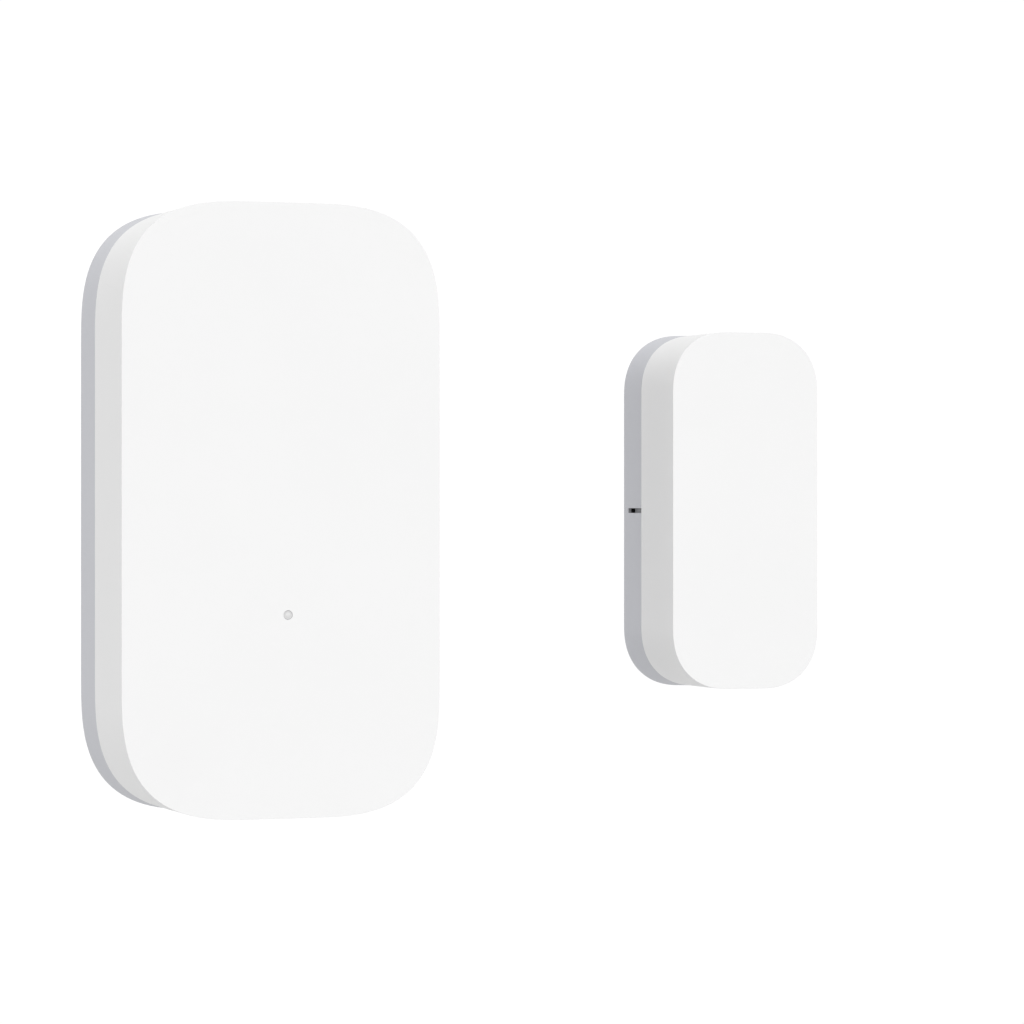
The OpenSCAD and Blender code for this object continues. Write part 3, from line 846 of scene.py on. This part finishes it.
def trace(points, y0, y1):
    """A copper strip along a path of (x, z) points, with mitred corners."""
    points = chamfered(points)
    legs = [(b - a).normalized() for a, b in zip(points, points[1:])]
    left = []
    right = []
    for i, point in enumerate(points):
        normals = [Vector((-leg.y, leg.x)) for leg in legs[max(i - 1, 0):i + 1]]
        middle = sum(normals, Vector((0, 0))).normalized()
        offset = middle * (TRACE_W / 2 / middle.dot(normals[0]))
        left.append(point + offset)
        right.append(point - offset)
    return prism([(p.x, p.y) for p in left + right[::-1]], 1, y0, y1)


def printed_box(x0, z0, x1, z1):
    """A printed line round a rectangle."""
    rings = []
    out = LINE_W / 2
    for grow, y in ((out, board_rear), (-out, board_rear), (-out, print_top), (out, print_top)):
        left, right, low, high = x0 - grow, x1 + grow, z0 - grow, z1 + grow
        rings.append([(left, y, low), (right, y, low), (right, y, high), (left, y, high)])
    return loft(rings, closed=True)


def via(x, z, face, out):
    """A plated hole's pad on one face of the board, with a black disc on it as painted shade for
    the hole. `out` is 1 on the rear and -1 on the front.
    """
    made = []
    # The inner black resin disc is painted shade, standing in for the open hole.
    for radius, height, steps, material in (
            (VIA_R, 0.02, 24, GOLD), (VIA_HOLE_R, 0.025, 16, BLACK_RESIN)):
        levels = sorted((face, face + out * height))
        made.append((turned(x, z, [(radius, y) for y in levels], steps), material))
    return made


REAR_TRACES = [
    [(-2.4, 11.1), (-2.4, 12.0), (-3.5, 12.0)],
    [(-4.9, 8.6), (-5.8, 8.6)],
    [(-4.9, 7.0), (-5.8, 7.0)],
    [(-4.9, 10.2), (-5.8, 10.2)],
    [(0.1, 9.4), (3.0, 9.4)],
    [(0.1, 10.4), (1.2, 10.4), (1.2, 12.2)],
    [(-0.6, 6.1), (-0.6, 4.6)],
    [(-3.0, 6.1), (-3.0, 4.6)],
    [(-7.4, 5.4), (-8.4, 5.4), (-8.4, 12.2)],
    [(-7.4, 7.0), (-7.9, 7.0), (-7.9, 11.8)],
    [(-6.2, 1.4), (-6.2, 3.2), (-5.2, 3.2), (-5.2, 6.1)],
    [(-4.5, 1.4), (-4.5, 2.8), (-3.2, 2.8), (-3.2, 3.8)],
    [(-2.8, 1.4), (-2.8, 2.3), (-0.9, 2.3), (-0.9, 3.8)],
    [(-1.1, 1.4), (-1.1, 1.8), (1.5, 1.8), (1.5, 4.6)],
    [(0.6, 1.0), (3.2, 1.0), (3.2, 3.0), (4.0, 3.0)],
    [(7.2, 3.9), (7.9, 3.9), (7.9, -0.4), (8.6, -0.4)],
    [(2.6, 5.0), (4.0, 5.0)],
    [(-7.3, 3.9), (-7.3, 0.0), (-8.6, 0.0)],
    [(2.5, 12.6), (3.3, 12.6)]]
REAR_VIAS = [
    (-8.4, 12.5), (-7.9, 12.1), (1.2, 12.5), (-7.3, 4.1), (8.0, -1.2), (6.4, 11.7), (-5.6, 12.0),
    (6.6, 1.2), (3.1, 6.3), (-1.8, 13.4), (0.0, -0.4), (-2.4, -0.4), (2.4, -0.4)]
FRONT_TRACES = [
    [(light_x + 0.8, light_z), (3.4, light_z), (3.4, 4.0), (2.0, 4.0), (2.0, 13.8)],
    [(light_x - 0.8, light_z), (-2.6, light_z), (-2.6, 2.0), (-4.4, 2.0), (-4.4, 9.0)],
    [(7.6, -7.6), (5.6, -7.6), (5.6, 6.0)],
    [(7.6, 7.6), (4.4, 7.6), (4.4, 13.0)],
    [(-1.6, 13.8), (-1.6, 9.6), (-3.4, 9.6)],
    [(-6.6, -10.0), (-6.6, 4.0), (-5.4, 4.0), (-5.4, 10.0)]]
FRONT_VIAS = [
    (5.6, 6.3), (-4.4, 9.3), (-3.7, 9.6), (-5.4, 10.3), (-6.6, -10.3), (4.4, 13.3), (0.4, 9.0)]
PRINTED_BOXES = [(-5.2, 5.8, 0.4, 11.4), (2.7, 7.9, 6.5, 10.9), (3.6, 2.3, 7.6, 5.5)]

refined("circuit_board", "board_green", MASK, "board", 0.04)
layers = [(trace(points, board_rear, board_rear + COPPER_T), TRACE) for points in REAR_TRACES]
layers += [(trace(points, board_front - COPPER_T, board_front), TRACE) for points in FRONT_TRACES]
for x, z in REAR_VIAS:
    layers += via(x, z, board_rear, 1)
for x, z in FRONT_VIAS:
    layers += via(x, z, board_front, -1)
for box in PRINTED_BOXES:
    layers.append((printed_box(*box), INK))
cell_low, cell_high = cad_box("coin_cell_can")
cell_z = (cell_low.z + cell_high.z) / 2
cell_r = (cell_high.x - cell_low.x) / 2
arc_inner = cell_r + 0.3
arc_outer = cell_r + 0.42
printed_ring = [
    (arc_inner, board_rear), (arc_outer, board_rear),
    (arc_outer, print_top), (arc_inner, print_top)]
layers.append((ring_of(1, (0, cell_z), printed_ring, 96), INK))
details = soften(assembled("board_details", layers))
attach(details, "sensor_housing")

# ---- small parts on the board


def end_caps(low, high, length, foot, material):
    """Two metal ends of a body that lies along X, inset by `foot` along Z."""
    return [
        (block((low.x, low.y, low.z + foot), (low.x + length, high.y, high.z - foot)), material),
        (block((high.x - length, low.y, low.z + foot), (high.x, high.y, high.z - foot)), material)]


def inset_block(low, high, dx, dy0, dy1, dz):
    """A box inside two corners, kept away from them by so much on each side."""
    return block((low.x + dx, low.y + dy0, low.z + dz), (high.x - dx, high.y - dy1, high.z - dz))


def capacitor(low, high):
    """A ceramic body between two soldered ends."""
    return end_caps(low, high, 0.3, 0, SOLDER) + [
        (inset_block(low, high, 0.1, 0.03, 0.03, 0.03), CERAMIC)]


def resistor(low, high):
    """A white ceramic body with a black film on top, between two soldered ends."""
    film = block((low.x + 0.26, high.y - 0.11, low.z + 0.04),
                 (high.x - 0.26, high.y, high.z - 0.04))
    body = inset_block(low, high, 0.1, 0.02, 0.1, 0.02)
    return [(body, ALUMINA), (film, BLACK_RESIN)] + end_caps(low, high, 0.28, 0, SOLDER)


def tantalum(low, high):
    """A moulded body with a stripe at one end, on two strips folded under it."""
    body = inset_block(low, high, 0.13, 0.08, 0.02, 0)
    stripe = block((high.x - 0.8, high.y - 0.1, low.z + 0.08),
                   (high.x - 0.35, high.y - 0.005, high.z - 0.08))
    parts = [(body, TANTALUM), (stripe, STRIPE)]
    for x, inward in ((low.x, 1), (high.x, -1)):
        fold = [(0, 0), (0.8, 0), (0.8, 0.12), (0.12, 0.12), (0.12, 1), (0, 1)]
        outline = [(x + inward * across, low.y + up) for across, up in fold]
        parts.append((prism(outline, 2, low.z + 0.3, high.z - 0.3), SOLDER))
    return parts


def small_parts(node, name, slot, make, edge):
    """All the solids of a node, each made by a function of its lowest and highest corner."""
    parts = []
    for low, high in solids_of(node):
        parts += make(low, high)
    return fitted(assembled(name, parts), slot, node, edge)


small_parts("chip_capacitors", "capacitor_bodies", "capacitor_ceramic", capacitor, 0.05)
small_parts("chip_resistors", "resistor_bodies", "resistor_body", resistor, 0.03)
small_parts("bulk_capacitor", "tantalum_body", "tantalum_body", tantalum, 0.04)

CHIP_PADS = 8  # on each side
CHIP_PITCH = 0.5
CHIP_PAD_W = 0.24
CHIP_PAD_L = 0.4
CHIP_PAD_H = 0.2


def quad_chip(low, high):
    """A leadless chip with pads along its four sides, flush with them."""
    parts = [(inset_block(low, high, 0.02, 0.05, 0, 0.02), BLACK_RESIN)]
    middle = (low + high) / 2
    half = CHIP_PAD_W / 2
    top = low.y + CHIP_PAD_H
    for i in range(CHIP_PADS):
        t = (i - (CHIP_PADS - 1) / 2) * CHIP_PITCH
        for x0, x1 in ((low.x, low.x + CHIP_PAD_L), (high.x - CHIP_PAD_L, high.x)):
            pad = block((x0, low.y, middle.z + t - half), (x1, top, middle.z + t + half))
            parts.append((pad, GOLD))
        for z0, z1 in ((low.z, low.z + CHIP_PAD_L), (high.z - CHIP_PAD_L, high.z)):
            pad = block((middle.x + t - half, low.y, z0), (middle.x + t + half, top, z1))
            parts.append((pad, GOLD))
    return parts


DIMPLE_IN = 0.7  # from the chip's corner to the dimple that marks its first pad
chip_low, chip_high = cad_box("radio_chip")
chip = assembled("radio_chip_body", quad_chip(chip_low, chip_high))
dimple = turned(
    chip_low.x + DIMPLE_IN, chip_high.z - DIMPLE_IN,
    [(0.18, chip_high.y - 0.08), (0.25, chip_high.y + 0.1)], 24)
combine(chip, [dimple], "DIFFERENCE")
fitted(chip, "chip_resin", "radio_chip", 0.03)

# The crystal is a ceramic tray with a gold seal ring and a metal lid.
crystal_low, crystal_high = cad_box("crystal_oscillator")
crystal = assembled("crystal_lid", [
    (inset_block(crystal_low, crystal_high, 0, 0, 0.4, 0), ALUMINA),
    (inset_block(crystal_low, crystal_high, 0.1, 0.3, 0.32, 0.1), GOLD),
    (inset_block(crystal_low, crystal_high, 0.2, 0.35, 0, 0.2), NICKEL)])
fitted(crystal, "crystal_can", "crystal_oscillator", 0.06)

# The light's ceramic base has a soldered end at each side and a phosphor lens towards the front.
LED_BASE_T = 0.25
led_low, led_high = cad_box("status_led")
led_step = led_high.y - LED_BASE_T
led_base = block(
    (led_low.x + 0.05, led_step, led_low.z), (led_high.x - 0.05, led_high.y - 0.01, led_high.z))
led_lens = block(
    (light_x - 0.5, led_low.y, led_low.z), (light_x + 0.5, led_step + 0.02, led_high.z))
led_ends = end_caps(Vector((led_low.x, led_step - 0.015, led_low.z)), led_high, 0.25, 0.1, GOLD)
led = assembled("led_chip", led_ends + [(led_base, ALUMINA), (led_lens, LED_RESIN)])
fitted(led, "led_resin", "status_led", 0.04)

refined("antenna_trace", "antenna_gold", GOLD, "gold_plating", 0.01)
refined("test_pads", "test_pads_gold", GOLD, "gold_plating", 0.01)

# ---- reed switch

reed_low, reed_high = cad_box("reed_glass")
reed_x = (reed_low.x + reed_high.x) / 2
reed_y = (reed_low.y + reed_high.y) / 2
REED_R = (reed_high.x - reed_low.x) / 2
REED_END = reed_high.z
REED_END_R = 0.55    # rounding of the glass outside
REED_BORE_R = REED_R - 0.3
REED_BORE_END = REED_END - 1.5
REED_BORE_END_R = 0.35
LEAD_R = 0.225
NECK_R = LEAD_R + 0.02  # the glass just clears the wire

outer = [(NECK_R, REED_END - 0.06), (LEAD_R + 0.12, REED_END)]
outer += arc((REED_R - REED_END_R, REED_END - REED_END_R), REED_END_R, 90, 0, 8)
bore = [(REED_BORE_R, REED_BORE_END - 0.5)]
bore += arc(
    (REED_BORE_R - REED_BORE_END_R, REED_BORE_END - REED_BORE_END_R), REED_BORE_END_R, 0, 90, 6)
bore.append((NECK_R, REED_BORE_END + 0.05))
glass_profile = outer + [(r, -z) for r, z in reversed(outer)]
glass_profile += [(r, -z) for r, z in reversed(bore)] + bore
tube = add_object("reed_tube", ring_of(2, (reed_x, reed_y), glass_profile), GLASS)
fitted(tube, "reed_glass", "reed_glass")

lead_high = cad_box("reed_leads")[1]
LEAD_Z = lead_high.z - LEAD_R
TIP_R = LEAD_R - 0.002  # just inside the wire, so their faces don't coincide
TIP_L = 0.1
BEND_R = 0.6
tip_start = lead_high.y - TIP_L
tip = [
    (TIP_R - 0.03, tip_start - 0.03), (TIP_R, tip_start),
    (TIP_R, lead_high.y - 0.05), (TIP_R - 0.06, lead_high.y)]
bend = arc((reed_y + BEND_R, LEAD_Z - BEND_R), BEND_R, 180, 90, 8)
lead_path = [(reed_y, REED_BORE_END + 0.02)] + bend + [(tip_start, LEAD_Z)]
lead_parts = []
for side in (1, -1):
    lead_parts.append((wire(reed_x, [(y, side * z) for y, z in lead_path], LEAD_R), TIN))
    lead_parts.append((turned(reed_x, side * LEAD_Z, tip, 16), TIN))
fitted(assembled("reed_wires", lead_parts), "lead_metal", "reed_leads")
refined("reed_fixed_blade", "reed_blade_fixed", TIN, "lead_metal", 0.02)
refined("reed_moving_blade", "reed_blade_moving", TIN, "lead_metal", 0.02)

solder_low, solder_high = cad_box("solder_fillets")
cone = [
    (0.5, solder_low.y), (0.48, solder_low.y + 0.03), (0.38, solder_low.y + 0.12),
    (0.31, solder_low.y + 0.22), (0.27, solder_high.y),
    (LEAD_R, solder_high.y), (LEAD_R, solder_low.y)]
fillets = assembled("solder_cones", [
    (ring_of(1, (reed_x, side * LEAD_Z), cone, 32), SOLDER) for side in (1, -1)])
fitted(fillets, "solder", "solder_fillets")

# ---- battery

refined("battery_positive_clip", "battery_strap", STEEL, "spring_steel", 0.07)
refined("battery_negative_contact", "battery_fingers", GOLD, "gold_plating", 0.03)

CAN_T = 0.25
CAN_EDGE = 0.7
CAN_INNER_EDGE = 0.6
CELL_MIDDLE_R = 0.6     # flat middle of the can
CAN_RING_R = (5.6, 5.7, 6.0, 6.1)  # a shallow ring pressed into the can's back
CAN_RING_D = 0.03
CELL_STEPS = 128
can_back = cell_high.y
can_inside = can_back - CAN_T
can_inner_r = cell_r - CAN_T
ring_levels = (can_back, can_back - CAN_RING_D, can_back - CAN_RING_D, can_back)
can_profile = [(CELL_MIDDLE_R, can_back)] + list(zip(CAN_RING_R, ring_levels))
can_profile += arc((cell_r - CAN_EDGE, can_back - CAN_EDGE), CAN_EDGE, 90, 0, 8)
can_profile += [(cell_r, cell_low.y + 0.18), (cell_r - 0.06, cell_low.y + 0.05)]
can_profile += [(cell_r - 0.16, cell_low.y), (can_inner_r, cell_low.y)]
can_profile += arc(
    (can_inner_r - CAN_EDGE + 0.1, can_inside - CAN_EDGE + 0.1), CAN_INNER_EDGE, 0, 90, 6)
can_profile.append((CELL_MIDDLE_R, can_inside))
can = add_object("cell_can", turned(0, cell_z, can_profile, CELL_STEPS), CELL)
fitted(can, "cell_steel", "coin_cell_can")

gasket_low, gasket_high = cad_box("coin_cell_gasket")
gasket_r = (gasket_high.x - gasket_low.x) / 2
cap_low, cap_high = cad_box("coin_cell_cap")
cap_r = (cap_high.x - cap_low.x) / 2
gasket_inner_r = cap_r + 0.01
gasket_ring = ring_of(1, (0, cell_z), [
    (gasket_r, gasket_low.y), (gasket_inner_r, gasket_low.y), (gasket_inner_r, gasket_high.y),
    (gasket_r - 0.65, gasket_high.y), (gasket_r, gasket_high.y - 0.7)], CELL_STEPS)
fitted(add_object("cell_gasket_ring", gasket_ring, GASKET), "cell_gasket", "coin_cell_gasket")

CAP_MIDDLE_R = 0.5
CAP_EDGE = 0.06
cap_step = gasket_low.y
cap_profile = [(CAP_MIDDLE_R, cap_low.y), (cap_r - 0.45, cap_low.y)]
cap_profile += [(cap_r - 0.36, cap_low.y + 0.03), (cap_r - 0.31, cap_low.y + 0.09)]
cap_profile += [(cap_r - 0.29, cap_step), (cap_r - CAP_EDGE, cap_step)]
cap_profile += [(cap_r, cap_step + CAP_EDGE), (cap_r, cap_high.y), (CAP_MIDDLE_R, cap_high.y)]
cap = add_object("cell_cap_negative", turned(0, cell_z, cap_profile, CELL_STEPS), CELL)
fitted(cap, "cell_cap", "coin_cell_cap")

# ---- reset switch and button

refined("switch_body", "tact_switch_body", BLACK_RESIN, "switch_resin", 0.05)
refined("switch_shield", "tact_switch_shield", STEEL, "spring_steel", 0.03)
dome = refined("switch_dome", "tact_switch_dome", GOLD, "gold_plating", 0.01)
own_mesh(dome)
refined("switch_plunger", "tact_switch_plunger", BLACK_RESIN, "switch_resin", 0.06)
refined("reset_button", "reset_button_cap", BUTTON, "grey_shell", 0.08)

# ------------------------------------------------------------------ stage

FLOOR_Z = -300
FLOOR_R = 1500
FLOOR_T = 10
FLOOR_STEPS = 128
disc = []
for i in range(FLOOR_STEPS):
    a = math.pi * i / (FLOOR_STEPS / 2)
    disc.append((FLOOR_R * math.cos(a), FLOOR_R * math.sin(a)))
ground = add_object("floor", prism(disc, 2, FLOOR_Z - FLOOR_T, FLOOR_Z), FLOOR)

world = bpy.data.worlds.new("studio")
bpy.context.scene.world = world
world.use_nodes = True
sky = world.node_tree


def sky_math(operation, a, b):
    """A math node between two values or sockets."""
    made = sky.nodes.new("ShaderNodeMath")
    made.operation = operation
    for socket, value in zip(made.inputs, (a, b)):
        if isinstance(value, bpy.types.NodeSocket):
            sky.links.new(value, socket)
        else:
            socket.default_value = value
    return made.outputs[0]


def sky_glow(part, power):
    """Brightest where one part of the direction is 1, and dark where it is negative."""
    return sky_math("POWER", sky_math("MAXIMUM", part, 0), power)


# The sky's brightness is a sum: the same everywhere, white in front and behind, a tall soft panel
# on the left and another on the right, a little from overhead, and a little more behind the object.
SKY_BASE = 0.355
SKY_ENDS = 0.67
SKY_SIDES = 1.74
SIDES_WIDTH_POWER = 8.4   # narrows the side panels
SIDES_FADE_POWER = 6      # fades them towards the front and the back
SKY_UP = 0.10
SKY_BACKDROP = 0.03
GLOW_POWER = 4
direction = sky.nodes.new("ShaderNodeSeparateXYZ")
sky.links.new(sky.nodes.new("ShaderNodeTexCoord").outputs["Generated"], direction.inputs[0])
x_part, y_part, z_part = direction.outputs
across = sky_math("SUBTRACT", 1, sky_math("MULTIPLY", y_part, y_part))
ends = sky_math("SUBTRACT", 1, sky_math("MULTIPLY", across, across))
ends = sky_math("MULTIPLY", ends, SKY_ENDS)
sides = sky_math("POWER", sky_math("ABSOLUTE", x_part, 0), SIDES_WIDTH_POWER)
sides = sky_math("MULTIPLY", sides, sky_math("POWER", across, SIDES_FADE_POWER))
sides = sky_math("MULTIPLY", sides, SKY_SIDES)
up = sky_math("MULTIPLY", sky_glow(z_part, GLOW_POWER), SKY_UP)
backdrop = sky_math("MULTIPLY", sky_glow(y_part, GLOW_POWER), SKY_BACKDROP)
total = sky_math("ADD", sky_math("ADD", ends, sides), sky_math("ADD", up, SKY_BASE))
total = sky_math("ADD", total, backdrop)
sky.links.new(total, sky.nodes["Background"].inputs["Strength"])
sky.nodes["Background"].inputs["Color"].default_value = (1, 1, 1, 1)

KEY_FROM = Vector((0, -0.60, 0.79))  # direction from the object to the light
key = bpy.data.lights.new("key", "SUN")
key.energy = 1.765
key.angle = math.radians(50)
key_object = bpy.data.objects.new("key", key)
bpy.context.scene.collection.objects.link(key_object)
key_object.rotation_euler = KEY_FROM.to_track_quat("Z", "Y").to_euler()

# The camera is level, in front of the sensor unit and to its left, and takes in both units.
IMAGE_PX = 1024
FOCAL_PX = 3720
SENSOR_MM = 36
CAMERA_FROM_FACE = Vector((-70.037, -237.68, -0.104))  # from the middle of the sensor unit's front
CAMERA_TURN = -0.348  # radians about Z
camera = bpy.data.cameras.new("camera")
camera.sensor_width = SENSOR_MM
camera.lens = SENSOR_MM * FOCAL_PX / IMAGE_PX
camera.clip_start = 0.01
camera.clip_end = 100
camera_object = bpy.data.objects.new("camera", camera)
camera_object.location = (Vector((0, sensor.front, 0)) + CAMERA_FROM_FACE) * MM
camera_object.rotation_euler = Euler((math.pi / 2, 0, CAMERA_TURN))
bpy.context.scene.collection.objects.link(camera_object)
bpy.context.scene.camera = camera_object
bpy.context.scene.view_settings.view_transform = "Standard"
